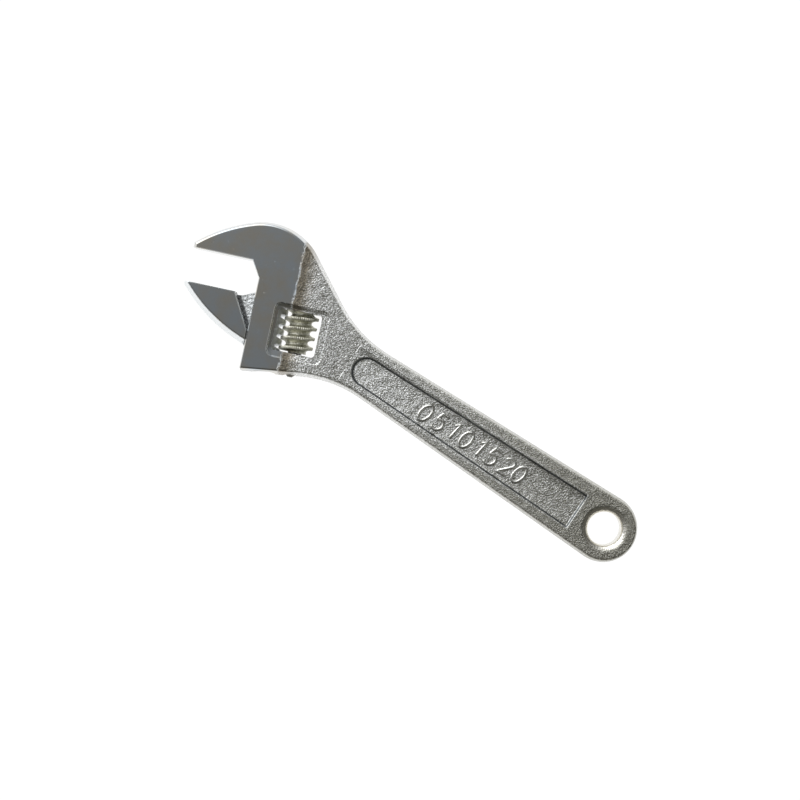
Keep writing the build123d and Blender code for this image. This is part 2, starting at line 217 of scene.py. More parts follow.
table_corners = [(-1, -1), (1, -1), (1, 1), (-1, 1)]
table_mesh = bpy.data.meshes.new("light_table")
table_mesh.from_pydata(
    [(x * TABLE_SIZE / 2, y * TABLE_SIZE / 2, -TABLE_GAP) for x, y in table_corners],
    [],
    [(0, 1, 2, 3)],
)
table = bpy.data.objects.new("light_table", table_mesh)
bpy.context.collection.objects.link(table)
table_material = bpy.data.materials.new("glowing_white_sheet")
table_material.use_nodes = True
connect(table_material.node_tree.nodes["Principled BSDF"], {
    "Base Color": linear("#303030"),
    "Roughness": 0.9,
    "Emission Color": linear("#ffffff"),
    "Emission Strength": TABLE_GLOW,
})
table_mesh.materials.append(table_material)
print("table", TABLE_SIZE, "m wide")

# %% [markdown]
# ## Meshes from grids
#
# Every new piece is a surface over a grid of points, worked out with numpy: one parameter runs
# along the shape and the other round it. These helpers turn such a grid into a mesh. The ring
# round the shape is closed by joining the last column to the first. Rows that shrink to a single
# point leave flat faces with no area, so points in the same place are merged.

# %% Helper for grid meshes
MERGE_DISTANCE = 1e-7


def grid_faces(rows, columns, shift=0):
    """Quads between neighbouring points of a grid whose columns close into a ring.

    At the ring's seam the last column meets the first one shift rows further on, as a screw
    thread does after a full turn.
    """
    r, c = np.meshgrid(np.arange(rows - 1), np.arange(columns), indexing="ij")
    next_c = (c + 1) % columns
    step = np.where(next_c == 0, shift, 0)
    low = np.minimum(r + step, rows - 1)
    high = np.minimum(r + 1 + step, rows - 1)
    corners = [(r, c), (low, next_c), (high, next_c), (r + 1, c)]
    return np.stack([along * columns + around for along, around in corners], -1).reshape(-1, 4)


def finish_mesh(name, points, faces, sharp_angle):
    """Makes a merged, outward-facing object from points and faces, smooth up to an angle."""
    mesh = bpy.data.meshes.new(name)
    mesh.from_pydata(points.reshape(-1, 3).tolist(), [], faces.tolist())
    shape = bmesh.new()
    shape.from_mesh(mesh)
    bmesh.ops.remove_doubles(shape, verts=shape.verts, dist=MERGE_DISTANCE)
    bmesh.ops.recalc_face_normals(shape, faces=shape.faces)
    shape.to_mesh(mesh)
    shape.free()
    mesh.polygons.foreach_set("use_smooth", np.ones(len(mesh.polygons), dtype=bool))
    mesh.set_sharp_from_angle(angle=math.radians(sharp_angle))
    piece = bpy.data.objects.new(name, mesh)
    bpy.context.collection.objects.link(piece)
    print(name, "has", len(mesh.polygons), "faces")
    return piece


def on_worm_axis(radius, angle, height):
    """Points round the worm's axis: radius and height in mm, and the angle from reach to down.

    Turning that way while climbing makes a right-hand thread.
    """
    across = radius * np.cos(angle)
    above = -radius * np.sin(angle)
    spread = across[..., None] * reach + above[..., None] * up + height[..., None] * slide
    return worm_centre + spread * MM


# %% [markdown]
# ## The adjusting worm
#
# The worm is a thumb screw: four turns of a rounded thread, with fine straight knurling left on
# the crests from before the thread was cut. It could be a cylinder with a displacement, but the
# thread's edges would come out ragged. Here the grid itself is wound like the thread: every row
# climbs one pitch in a turn, so the edges of the crest follow the rows exactly. Rows that would
# pass the ends are held at the ends, and the last rows turn in to make the end faces and the bore.

# %% Worm
PITCH = 2.9
WORM_RADIUS = 5.0
WORM_BOTTOM = -5.75
WORM_TOP = 6.2
CREST_HEIGHT = -0.85  # where a crest passes on the handle's side
GROOVE_WIDTH = 2.1
GROOVE_DEPTH = 1.85
EDGE_WEAR = 0.06  # the crest's edges are a little rounded
BORE_RADIUS = 1.45
COUNTERBORE_RADIUS = 2.35
COUNTERBORE_TOP = -3.4
KNURLS = 50
KNURL_DEPTH = 0.16
STEPS_PER_KNURL = 8
CREST_STEPS = 5
GROOVE_STEPS = 15
MARGIN_TURNS = 2


def thread_radius(angle, height):
    """Radius of the worm's surface, in mm.

    The place in the pitch is height minus the crest's climb, wrapped to one pitch. On the crest
    the radius is full. In the groove it falls by depth times the cosine of the lean, where the
    sine of the lean is the distance from the groove's middle over its half width.
    """
    climb = CREST_HEIGHT + PITCH * angle / (2 * np.pi)
    place = np.mod(height - climb, PITCH) - PITCH / 2
    lean = np.clip(place / (GROOVE_WIDTH / 2), -1, 1)
    groove = WORM_RADIUS - GROOVE_DEPTH * np.sqrt(1 - lean ** 2)
    crest_lean = np.clip((PITCH / 2 - np.abs(place)) / ((PITCH - GROOVE_WIDTH) / 2), 0, 1)
    crest = WORM_RADIUS - EDGE_WEAR * crest_lean ** 4
    wave = 0.5 - 0.5 * np.cos(KNURLS * angle)
    knurled = crest - KNURL_DEPTH * wave ** 1.5
    return np.minimum(groove, knurled)


def worm_rows():
    """Heights within one pitch, from a crest's middle: close together where the edges turn."""
    half_crest = (PITCH - GROOVE_WIDTH) / 2
    crest = np.linspace(-half_crest, half_crest, CREST_STEPS, endpoint=False)
    lean = np.linspace(-np.pi / 2, np.pi / 2, GROOVE_STEPS, endpoint=False)
    groove = PITCH / 2 + GROOVE_WIDTH / 2 * np.sin(lean)
    return np.concatenate([crest, groove])


def make_worm():
    """The thread's grid, held at both ends, then led in to the bore and through it."""
    columns = KNURLS * STEPS_PER_KNURL
    angle = np.linspace(0, 2 * np.pi, columns, endpoint=False)
    one_pitch = worm_rows()
    turns = np.arange(math.floor((WORM_BOTTOM - CREST_HEIGHT) / PITCH) - MARGIN_TURNS,
                      math.ceil((WORM_TOP - CREST_HEIGHT) / PITCH) + MARGIN_TURNS)
    rows = (turns[:, None] * PITCH + one_pitch[None, :]).ravel()
    climb = CREST_HEIGHT + PITCH * angle / (2 * np.pi)
    height = np.clip(rows[:, None] + climb[None, :], WORM_BOTTOM, WORM_TOP)
    around = np.broadcast_to(angle, height.shape)
    thread = on_worm_axis(thread_radius(around, height), around, height)

    inside = [
        (BORE_RADIUS, WORM_TOP),
        (BORE_RADIUS, COUNTERBORE_TOP),
        (COUNTERBORE_RADIUS, COUNTERBORE_TOP),
        (COUNTERBORE_RADIUS, WORM_BOTTOM),
    ]
    ring_radius = np.array([radius for radius, level in inside])[:, None] * np.ones(columns)
    ring_height = np.array([level for radius, level in inside])[:, None] * np.ones(columns)
    rings = on_worm_axis(ring_radius, np.broadcast_to(angle, ring_radius.shape), ring_height)

    thread_faces = grid_faces(len(rows), columns, shift=len(one_pitch))
    first = len(rows) - 1
    order = np.concatenate([[first], first + 1 + np.arange(len(inside)), [0]])
    band = grid_faces(len(order), columns)
    band_faces = order[band // columns] * columns + band % columns
    points = np.concatenate([thread.reshape(-1, 3), rings.reshape(-1, 3)])
    return finish_mesh("knurled_worm", points, np.concatenate([thread_faces, band_faces]), 32)


knurled_worm = make_worm()
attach(knurled_worm, "worm")
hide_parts("adjusting_worm")

# %% [markdown]
# ## The worm's spring
#
# A short coil of spring wire keeps the worm from rattling. It could be a curve with a round
# bevel, but a grid gives its ends for free: the ring of points round the wire shrinks to nothing
# there, which closes the tube. Its middle line is a helix whose ends lie flat, as on a real
# compression spring.

# %% Spring
WIRE_RADIUS = 0.22
COIL_RADIUS = 1.86
SPRING_BOTTOM = -6.25
SPRING_TOP = -3.42
COILS = 4.5
FLAT_TURNS = 0.8
EASING = 0.06
COIL_STEPS = 260
WIRE_STEPS = 12


def make_spring():
    """A helix of radius COIL_RADIUS that stays level for the first and the last stretch.

    In between, its height is the share of the turns less EASING times the sine of a full circle
    of that share, so that the climb starts and ends a little slower.
    """
    turn = np.linspace(0, COILS, COIL_STEPS)
    share = np.clip((turn - FLAT_TURNS / 2) / (COILS - FLAT_TURNS), 0, 1)
    eased = share - EASING * np.sin(2 * np.pi * share)
    low = SPRING_BOTTOM + WIRE_RADIUS
    middle = low + (SPRING_TOP - WIRE_RADIUS - low) * eased
    ends = np.ones(COIL_STEPS)
    ends[[0, -1]] = 0.0
    turn = np.concatenate([turn[:1], turn, turn[-1:]])
    middle = np.concatenate([middle[:1], middle, middle[-1:]])
    wire = WIRE_RADIUS * np.concatenate([[0.0], np.ones(COIL_STEPS), [0.0]])
    round_wire = np.linspace(0, 2 * np.pi, WIRE_STEPS, endpoint=False)
    radius = COIL_RADIUS + wire[:, None] * np.cos(round_wire)
    height = middle[:, None] + wire[:, None] * np.sin(round_wire)
    angle = np.broadcast_to((2 * np.pi * turn)[:, None], radius.shape)
    points = on_worm_axis(radius, angle, height)
    return finish_mesh("coil_spring", points, grid_faces(len(turn), WIRE_STEPS), 50)


coil_spring = make_spring()
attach(coil_spring, "frame")
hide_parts("worm_spring")

# %% [markdown]
# ## Raised numbers in the panel
#
# A forging die leaves raised marks. Here they are a plain scale of numbers, the jaws' opening in
# millimetres. A text object would have flat tops and sharp walls, but metal that has been pressed
# into an engraved die is rounded, like a bead. So each stroke is a path with a low oval carried
# along it, thinning to a point at its ends.

# %% Strokes of the numbers
MARK_START = -63.6  # from the hanging hole, in mm
MARK_MIDDLE = -0.6
MARK_HEIGHT = 5.2
DIGIT_WIDTH = 3.0
DIGIT_GAP = 1.2
NUMBER_GAP = 0.8
SLANT = 0.16
BEAD_HALF_WIDTH = 0.5  # the strokes of a small mark are a millimetre wide
BEAD_HEIGHT = 0.55
PANEL_FLOOR = 3.1  # above the mid-plane
STROKE_STEPS = 40
BEAD_STEPS = 14


def arc(middle, radii, start, stop):
    """Points on an ellipse from a start to a stop angle, in degrees."""
    angle = np.radians(np.linspace(start, stop, STROKE_STEPS))
    return np.stack([middle[0] + radii[0] * np.cos(angle), middle[1] + radii[1] * np.sin(angle)], 1)


def straight(*corners):
    """Points along a run of straight lines, evenly spread over each one."""
    share = np.linspace(0, len(corners) - 1, STROKE_STEPS)
    corners = np.array(corners, dtype=float)
    return np.stack([np.interp(share, np.arange(len(corners)), corners[:, i]) for i in (0, 1)], 1)


# Each digit is drawn in a box that is one wide and two high.
DIGIT_STROKES = {
    "0": [arc((0.5, 1.0), (0.5, 1.0), 60, 480)],
    "1": [straight((0.15, 1.6), (0.55, 2.0), (0.55, 0.0))],
    "2": [np.concatenate([arc((0.5, 1.5), (0.5, 0.5), 165, -30), straight((0.05, 0.0), (1.0, 0.0))])],
    "5": [np.concatenate([straight((0.95, 2.0), (0.2, 2.0), (0.08, 1.15)),
                          arc((0.45, 0.65), (0.52, 0.65), 120, -150)])],
}
print("digits:", sorted(DIGIT_STROKES))

# %% [markdown]
# The row of numbers is one piece, as it is one stamping. Each bead is a closed tube that dips
# into the panel's floor, so only its upper half shows and no edge has to be fitted.

# %% Beads along the strokes


def bead(stroke, start):
    """A low oval carried along a stroke.

    Across the stroke the oval is BEAD_HALF_WIDTH times the cosine, upwards BEAD_HEIGHT times the
    sine, and both shrink to nothing at the stroke's two ends.
    """
    size = MARK_HEIGHT / 2
    x = start + stroke[:, 0] * DIGIT_WIDTH + SLANT * (stroke[:, 1] - 1) * size
    y = MARK_MIDDLE + (stroke[:, 1] - 1) * size
    path = np.stack([x, y], 1)
    step = np.gradient(path, axis=0)
    step = step / np.maximum(np.linalg.norm(step, axis=1, keepdims=True), 1e-9)
    side = np.stack([-step[:, 1], step[:, 0]], 1)
    run = np.linspace(0, 1, len(path))
    length = np.linalg.norm(np.diff(path, axis=0), axis=1).sum()
    round_off = BEAD_HALF_WIDTH / length
    inwards = np.clip(np.minimum(run, 1 - run) / round_off, 0, 1)
    swell = np.sqrt(np.maximum(1 - (1 - inwards) ** 2, 0))
    turn = np.linspace(0, 2 * np.pi, BEAD_STEPS, endpoint=False)
    across = BEAD_HALF_WIDTH * swell[:, None] * np.cos(turn)
    above = BEAD_HEIGHT * swell[:, None] * np.sin(turn)
    flat = path[:, None, :] + across[..., None] * side[:, None, :]
    points = np.concatenate([flat, (PANEL_FLOOR + above)[..., None]], axis=2) * MM
    return points + np.array([hole_centre[0], hole_centre[1], mid_height])


def make_numbers(numbers):
    """All the beads of a row of numbers, as one piece."""
    points = []
    faces = []
    count = 0
    start = MARK_START
    for number in numbers:
        for digit in number:
            for stroke in DIGIT_STROKES[digit]:
                tube = bead(stroke, start)
                faces.append(grid_faces(len(tube), BEAD_STEPS) + count)
                points.append(tube.reshape(-1, 3))
                count += len(points[-1])
            start += DIGIT_WIDTH + DIGIT_GAP
        start += NUMBER_GAP
    print("numbers end", round(-start, 1), "mm from the hole")
    return finish_mesh("raised_numbers", np.concatenate(points), np.concatenate(faces), 60)


raised_numbers = make_numbers(["0", "5", "10", "15", "20"])
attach(raised_numbers, "frame")

# %% [markdown]
# ## Chrome on the forging
#
# The body is a drop forging under thin decorative chrome. The hammer scale was blasted off, so
# the plating follows a pitted, grainy skin: every grain is a tiny curved mirror. The head's two
# faces were ground flat before plating and are nearly smooth. One material does both, because
# they meet along an uneven line where the grinding ran out. It works in the head's own directions,
# in millimetres: the Mapping node moves the pattern to the worm's centre, turns it and scales it.

# %% Coordinates for patterns


def head_coordinates(tree):
    """Object coordinates in mm, measured from the worm's centre along reach, slide and up."""
    where = add(tree, "ShaderNodeTexCoord")
    return add(
        tree, "ShaderNodeMapping",
        {
            "Vector": where.outputs["Object"],
            "Location": tuple(worm_centre),
            "Rotation": (0, 0, head_turn),
            "Scale": (MM, MM, MM),
        },
        vector_type="TEXTURE",
    )


def handle_coordinates(tree):
    """Object coordinates in mm, measured from the hanging hole along the handle."""
    where = add(tree, "ShaderNodeTexCoord")
    return add(
        tree, "ShaderNodeMapping",
        {
            "Vector": where.outputs["Object"],
            "Location": (hole_centre[0], hole_centre[1], mid_height),
            "Scale": (MM, MM, MM),
        },
        vector_type="TEXTURE",
    )


def new_material(name):
    """A plain metal: the material, the tree it is built in and its shader."""
    material = bpy.data.materials.new(name)
    material.use_nodes = True
    shader = material.node_tree.nodes["Principled BSDF"]
    connect(shader, {"Metallic": 1.0})
    return material, material.node_tree, shader


print("patterns turn by", round(math.degrees(head_turn), 2), "degrees")

# %% [markdown]
# Height and colour have to agree: the brown stain follows the same wavering edge as the burr.
# So the patterns come first, in one place, and the steps after it take what they need. The edge of
# the grinding could be a straight line with a separate wobble, but a wheel cuts the high spots
# first, so here the skin's own grain and lumps push the line back and forth.

# %% Patterns that the body's height and colour share
GROUND_END = -3.2  # along reach, in mm
EDGE_WAVER = 1.3  # how far the patterns push that edge, in mm
EDGE_BLEND = (-0.1, 0.25)
GRAIN = 0.40  # the finest real pits are too small to show, so these are the coarse ones
LUMPS = 2.4
CLOUDS = 7.0
PANEL_REACH = 5.3  # half the width of the panel's floor
PANEL_WALL = 0.6
PANEL_MIDDLE = -0.25
PANEL_START = -88.8  # along the handle from the hanging hole
PANEL_END = -8.8
MASK_BLEND = 0.2


def body_patterns(tree):
    """The body's places, patterns and masks, by name.

    Past the edge is reach plus EDGE_WAVER times the sum of grain and lumps, less its usual value,
    which is one because each pattern stays about a half.
    """
    place = head_coordinates(tree)
    on_handle = handle_coordinates(tree)
    head = add(tree, "ShaderNodeSeparateXYZ", {"Vector": place})
    handle = add(tree, "ShaderNodeSeparateXYZ", {"Vector": on_handle})
    grain = add(tree, "ShaderNodeTexNoise",
                {"Vector": place, "Scale": 1 / GRAIN, "Detail": 2.5, "Roughness": 0.65})
    lumps = add(tree, "ShaderNodeTexNoise",
                {"Vector": place, "Scale": 1 / LUMPS, "Detail": 2.0, "Roughness": 0.5})
    waver = add(tree, "ShaderNodeMath", {0: grain, 1: lumps}, operation="ADD")
    edge = add(tree, "ShaderNodeMath", {0: waver, 1: EDGE_WAVER, 2: head.outputs["X"]},
               operation="MULTIPLY_ADD")
    past_edge = add(tree, "ShaderNodeMath", {0: edge, 1: GROUND_END + EDGE_WAVER},
                    operation="SUBTRACT")
    forged = add(tree, "ShaderNodeMapRange",
                 {"Value": past_edge, "From Min": EDGE_BLEND[0], "From Max": EDGE_BLEND[1]})
    flat_place = add(tree, "ShaderNodeVectorMath", {0: on_handle, 1: (1.0, 1.0, 0.0)},
                     operation="MULTIPLY")
    from_hole = add(tree, "ShaderNodeVectorMath", {0: flat_place}, operation="LENGTH")
    across = add(tree, "ShaderNodeMath", {0: handle.outputs["Y"], 1: PANEL_MIDDLE},
                 operation="SUBTRACT")
    return {
        "place": place,
        "along_slide": head.outputs["Y"],
        "along_handle": handle.outputs["X"],
        "across_panel": across,
        "from_hole": from_hole,
        "grain": grain,
        "lumps": lumps,
        "past_edge": past_edge,
        "forged": forged,
    }


def panel_mask(tree, shared):
    """One inside the panel up to the foot of its walls: a product of three soft limits."""
    across_size = add(tree, "ShaderNodeMath", {0: shared["across_panel"]}, operation="ABSOLUTE")
    before_hole = add(tree, "ShaderNodeMapRange",
                      {"Value": shared["along_handle"], "From Min": PANEL_END + MASK_BLEND,
                       "From Max": PANEL_END})
    after_neck = add(tree, "ShaderNodeMapRange",
                     {"Value": shared["along_handle"], "From Min": PANEL_START,
                      "From Max": PANEL_START + MASK_BLEND})
    within = add(tree, "ShaderNodeMapRange",
                 {"Value": across_size, "From Min": PANEL_REACH + PANEL_WALL + MASK_BLEND,
                  "From Max": PANEL_REACH + PANEL_WALL})
    along = add(tree, "ShaderNodeMath", {0: before_hole, 1: after_neck}, operation="MULTIPLY")
    return add(tree, "ShaderNodeMath", {0: along, 1: within}, operation="MULTIPLY")


print("grain", GRAIN, "mm, lumps", LUMPS, "mm, clouds", CLOUDS, "mm")

# %% [markdown]
# The skin's height is worked out in millimetres and fed to one Bump node. It has the blasted
# grain, the shallow lumps that the hammer left, a broken burr where the grinding wheel ran out,
# a few nicks, and the pressed-in lip of the ledge round the worm's window. Inside the panel the
# floor curls up towards its walls, as forged metal does, so the lower side of the panel catches
# the soft box's light and the upper side loses it. Cutting all this into the mesh would need
# millions of faces, and none of it is deep enough to change the outline.

# %% Height of the body's skin
GRAIN_DEPTH = 0.24
LUMP_DEPTH = 0.24
HOLE_FLARE = 6.4  # radius of the dished ring round the hanging hole
CALM_IN_FLARE = 0.35  # share of the skin's depth that is left there
CALM_AT_EDGE = 0.3  # and next to the ground face
CALM_WIDTH = 5.0
BURR_HEIGHT = 0.14
BURR_WIDTH = 0.30
NICK_SPACING = 1.6
NICK_DEPTH = 0.03
LEDGE_LIP = 0.3  # fall of the ledge just inside its rim
LEDGE_TOP = 7.8
LEDGE_SLOPE = 1.2
LEDGE_BLEND = 0.15
LEDGE_MIDDLE = -0.22
LEDGE_CORNER = 2.2
LEDGE_INNER_BOX = (8.1 - LEDGE_CORNER, 7.97 - LEDGE_CORNER, 20.0)  # half sizes, in mm
UPPER_CURL = 0.48
UPPER_CURL_START = 2.4
LOWER_CURL = 0.20
LOWER_CURL_START = -1.0


def blasted_skin(tree, shared):
    """Grain and lumps, each times its depth, calmer in the hole's flare and at the ground edge."""
    calm_flare = add(tree, "ShaderNodeMapRange",
                     {"Value": shared["from_hole"], "From Min": HOLE_FLARE - 0.3,
                      "From Max": HOLE_FLARE + 0.5, "To Min": CALM_IN_FLARE})
    calm_edge = add(tree, "ShaderNodeMapRange",
                    {"Value": shared["past_edge"], "From Min": 0.2, "From Max": CALM_WIDTH,
                     "To Min": CALM_AT_EDGE})
    calm = add(tree, "ShaderNodeMath", {0: calm_flare, 1: calm_edge}, operation="MULTIPLY")
    grain = add(tree, "ShaderNodeMath", {0: shared["grain"], 1: GRAIN_DEPTH}, operation="MULTIPLY")
    height = add(tree, "ShaderNodeMath", {0: shared["lumps"], 1: LUMP_DEPTH, 2: grain},
                 operation="MULTIPLY_ADD")
    calmed = add(tree, "ShaderNodeMath", {0: height, 1: calm}, operation="MULTIPLY")
    return add(tree, "ShaderNodeMath", {0: calmed, 1: shared["forged"]}, operation="MULTIPLY")


def burr_and_nicks(tree, shared):
    """A ridge one minus the square of the distance over BURR_WIDTH, broken by the grain, and
    rare shallow pits."""
    distance = add(tree, "ShaderNodeMath", {0: shared["past_edge"], 1: 1 / BURR_WIDTH},
                   operation="MULTIPLY")
    square = add(tree, "ShaderNodeMath", {0: distance, 1: distance}, operation="MULTIPLY")
    ridge = add(tree, "ShaderNodeMapRange",
                {"Value": square, "From Min": 1.0, "From Max": 0.0, "To Max": BURR_HEIGHT})
    broken = add(tree, "ShaderNodeMapRange",
                 {"Value": shared["grain"], "From Min": 0.46, "From Max": 0.56})
    burr = add(tree, "ShaderNodeMath", {0: ridge, 1: broken}, operation="MULTIPLY")
    spots = add(tree, "ShaderNodeTexNoise",
                {"Vector": shared["place"], "Scale": 1 / NICK_SPACING, "Detail": 3.0,
                 "Roughness": 0.7})
    nicks = add(tree, "ShaderNodeMapRange",
                {"Value": spots, "From Min": 0.70, "From Max": 0.76, "To Max": -NICK_DEPTH})
    return add(tree, "ShaderNodeMath", {0: burr, 1: nicks}, operation="ADD")


def ledge_fall(tree, shared):
    """How far the ledge round the worm's window lies below its rim, growing towards its top.

    The distance from a box with round corners is the length of what sticks out of a smaller box,
    less the corner's radius.
    """
    centred = add(tree, "ShaderNodeVectorMath", {0: shared["place"], 1: (0.0, LEDGE_MIDDLE, 0.0)},
                  operation="SUBTRACT")
    folded = add(tree, "ShaderNodeVectorMath", {0: centred}, operation="ABSOLUTE")
    beyond = add(tree, "ShaderNodeVectorMath", {0: folded, 1: LEDGE_INNER_BOX},
                 operation="SUBTRACT")
    outside = add(tree, "ShaderNodeVectorMath", {0: beyond, 1: (0.0, 0.0, 0.0)},
                  operation="MAXIMUM")
    distance = add(tree, "ShaderNodeVectorMath", {0: outside}, operation="LENGTH")
    in_rim = add(tree, "ShaderNodeMapRange",
                 {"Value": distance, "From Min": LEDGE_CORNER + LEDGE_BLEND,
                  "From Max": LEDGE_CORNER - LEDGE_BLEND})
    below_top = add(tree, "ShaderNodeMapRange",
                    {"Value": shared["along_slide"], "From Min": LEDGE_TOP,
                     "From Max": LEDGE_TOP - LEDGE_SLOPE, "To Max": LEDGE_LIP})
    return add(tree, "ShaderNodeMath", {0: in_rim, 1: below_top}, operation="MULTIPLY")


def panel_curl(tree, shared, in_panel):
    """Rise of the panel's floor: the square of the share of the way to each wall."""
    sides = []
    for start, end, rise in [
        (UPPER_CURL_START, PANEL_REACH, UPPER_CURL),
        (LOWER_CURL_START, -PANEL_REACH, LOWER_CURL),
    ]:
        share = add(tree, "ShaderNodeMapRange",
                    {"Value": shared["across_panel"], "From Min": start, "From Max": end})
        square = add(tree, "ShaderNodeMath", {0: share, 1: share}, operation="MULTIPLY")
        sides.append(add(tree, "ShaderNodeMath", {0: square, 1: rise}, operation="MULTIPLY"))
    both = add(tree, "ShaderNodeMath", {0: sides[0], 1: sides[1]}, operation="ADD")
    return add(tree, "ShaderNodeMath", {0: both, 1: in_panel}, operation="MULTIPLY")


def body_relief(tree, shared, in_panel):
    """The skin, burr, nicks and curl added up, less the ledge's fall, as one Bump node."""
    added = [burr_and_nicks(tree, shared), panel_curl(tree, shared, in_panel)]
    height = blasted_skin(tree, shared)
    for more in added:
        height = add(tree, "ShaderNodeMath", {0: height, 1: more}, operation="ADD")
    height = add(tree, "ShaderNodeMath", {0: height, 1: ledge_fall(tree, shared)},
                 operation="SUBTRACT")
    return add(tree, "ShaderNodeBump", {"Height": height, "Strength": 1.0, "Distance": MM})


print("burr", BURR_HEIGHT, "mm high, panel curls up by", UPPER_CURL, "and", LOWER_CURL, "mm")

# %% [markdown]
# Chrome is nearly white, so what tells the eye that this one is used is what lies on it: olive
# dirt in the pits, a brown stain beside the ground face, a duller handle towards the hole where
# hands rub it and a clean, pale flare round the hole. The panel's steep walls get a painted shade,
# a darker bluish grey. Each is one Mix node whose factor is a mask. The ground faces keep a
# little more gloss than the forged skin.

# %% Body material
WARM_CLOUD = "#c5c1b8"
COOL_CLOUD = "#bfc6cc"
PIT_DIRT = "#a9a9a1"
CLEAN_CREST = "#f3f4f4"
RUBBED_CHROME = "#8c8876"
GRINDING_STAIN = "#857b68"
CLEAN_FLARE = "#e6e3da"
# painted shade: a darker bluish grey on the panel's steep walls, in place of the dark they mirror
WALL_PAINTED_SHADE = "#7d8184"
STAIN_END = 5.5  # past the ground edge, in mm
STAIN_FULL = 1.8
RUBBED_START = -80.0  # along the handle from the hanging hole
RUBBED_FULL = 5.0
RUBBED_SHARE = 0.42
RIM_SHARE = 0.22  # more of it on the rim beside the panel
RIM_BLEND = 8.0
WALL_LEAN = (0.78, 0.62)  # upright part of the normal where the walls begin and are full
GROUND_ROUGHNESS = 0.13
FORGED_ROUGHNESS = 0.22


def rubbed_share(tree, shared, in_panel):
    """How dull hands have made the chrome: more towards the hole, and more on the rim."""
    handled = add(tree, "ShaderNodeMapRange",
                  {"Value": shared["along_handle"], "From Min": RUBBED_START,
                   "From Max": RUBBED_FULL, "To Max": RUBBED_SHARE})
    past_neck = add(tree, "ShaderNodeMapRange",
                    {"Value": shared["along_handle"], "From Min": PANEL_START - RIM_BLEND,
                     "From Max": PANEL_START + RIM_BLEND, "To Max": RIM_SHARE})
    off_panel = add(tree, "ShaderNodeMath", {0: 1.0, 1: in_panel}, operation="SUBTRACT")
    rim = add(tree, "ShaderNodeMath", {0: off_panel, 1: past_neck}, operation="MULTIPLY")
    return add(tree, "ShaderNodeMath", {0: handled, 1: rim}, operation="ADD")


def painted_wall_shade_share(tree, in_panel):
    """Share of painted shade: one on the panel's walls, where the surface leans steeply, and nothing on its floor.
    """
    surface = add(tree, "ShaderNodeNewGeometry")
    normal = add(tree, "ShaderNodeSeparateXYZ", {"Vector": surface.outputs["True Normal"]})
    upright = add(tree, "ShaderNodeMath", {0: normal.outputs["Z"]}, operation="ABSOLUTE")
    steep = add(tree, "ShaderNodeMapRange",
                {"Value": upright, "From Min": WALL_LEAN[0], "From Max": WALL_LEAN[1]})
    return add(tree, "ShaderNodeMath", {0: in_panel, 1: steep}, operation="MULTIPLY")


def body_tint(tree, shared, in_panel):
    """Two base colours, from clouds and from pits, then each layer mixed over by its mask, and last a painted
    shade on the panel's walls.
    """
    clouds = add(tree, "ShaderNodeTexNoise",
                 {"Vector": shared["place"], "Scale": 1 / CLOUDS, "Detail": 4.0, "Roughness": 0.6})
    ground_tint = add(tree, "ShaderNodeValToRGB", {"Fac": clouds},
                      stops=[(0.35, linear(WARM_CLOUD)), (0.65, linear(COOL_CLOUD))])
    forged_tint = add(tree, "ShaderNodeValToRGB", {"Fac": shared["grain"]},
                      stops=[(0.38, linear(PIT_DIRT)), (0.56, linear(CLEAN_CREST))])
    stain = add(tree, "ShaderNodeMapRange",
                {"Value": shared["past_edge"], "From Min": STAIN_END, "From Max": STAIN_FULL,
                 "To Max": 0.85})
    flare = add(tree, "ShaderNodeMapRange",
                {"Value": shared["from_hole"], "From Min": HOLE_FLARE + 0.2,
                 "From Max": HOLE_FLARE - 0.3})
    for share, layer in [
        (rubbed_share(tree, shared, in_panel), RUBBED_CHROME),
        (stain, GRINDING_STAIN),
        (flare, CLEAN_FLARE),
    ]:
        forged_tint = add(tree, "ShaderNodeMix",
                          {"Factor": share, "A": forged_tint, "B": linear(layer)},
                          data_type="RGBA")
    clean_tint = add(tree, "ShaderNodeMix",
                     {"Factor": shared["forged"], "A": ground_tint, "B": forged_tint},
                     data_type="RGBA")
    # last, the panel's steep walls get a painted shade
    return add(tree, "ShaderNodeMix",
               {"Factor": painted_wall_shade_share(tree, in_panel), "A": clean_tint, "B": linear(WALL_PAINTED_SHADE)},
               data_type="RGBA")


def forged_and_ground_chrome():
    """Chrome plating over blasted forging, smooth where the head was ground."""
    material, tree, shader = new_material("chrome_on_blasted_forging_and_ground_head")
    shared = body_patterns(tree)
    in_panel = panel_mask(tree, shared)
    gloss = add(tree, "ShaderNodeMapRange",
                {"Value": shared["forged"], "To Min": GROUND_ROUGHNESS, "To Max": FORGED_ROUGHNESS})
    connect(shader, {
        "Base Color": body_tint(tree, shared, in_panel),
        "Roughness": gloss,
        "Normal": body_relief(tree, shared, in_panel),
    })
    return material


body_chrome = forged_and_ground_chrome()
print("made", body_chrome.name)

# %% [markdown]
# ## The movable jaw
#
# The jaw's two flat faces were ground with the head's, so they share its smooth grey. Its web and
# rail were only milled and plated: they keep a satin, slightly uneven skin that scatters the
# soft box's light and looks whiter. The height above the mid-plane tells the two apart. A painted
# shade darkens the web along the corner where it meets the block, in front of the head.

# %% Jaw material
GROUND_LEVEL = 5.3  # the ground faces are above this, in mm
LEVEL_BLEND = 0.3
SATIN_WAVES = 0.8
SATIN_DEPTH = 0.30
SATIN_ROUGHNESS = 0.4
SATIN_CHROME = "#eef1f2"
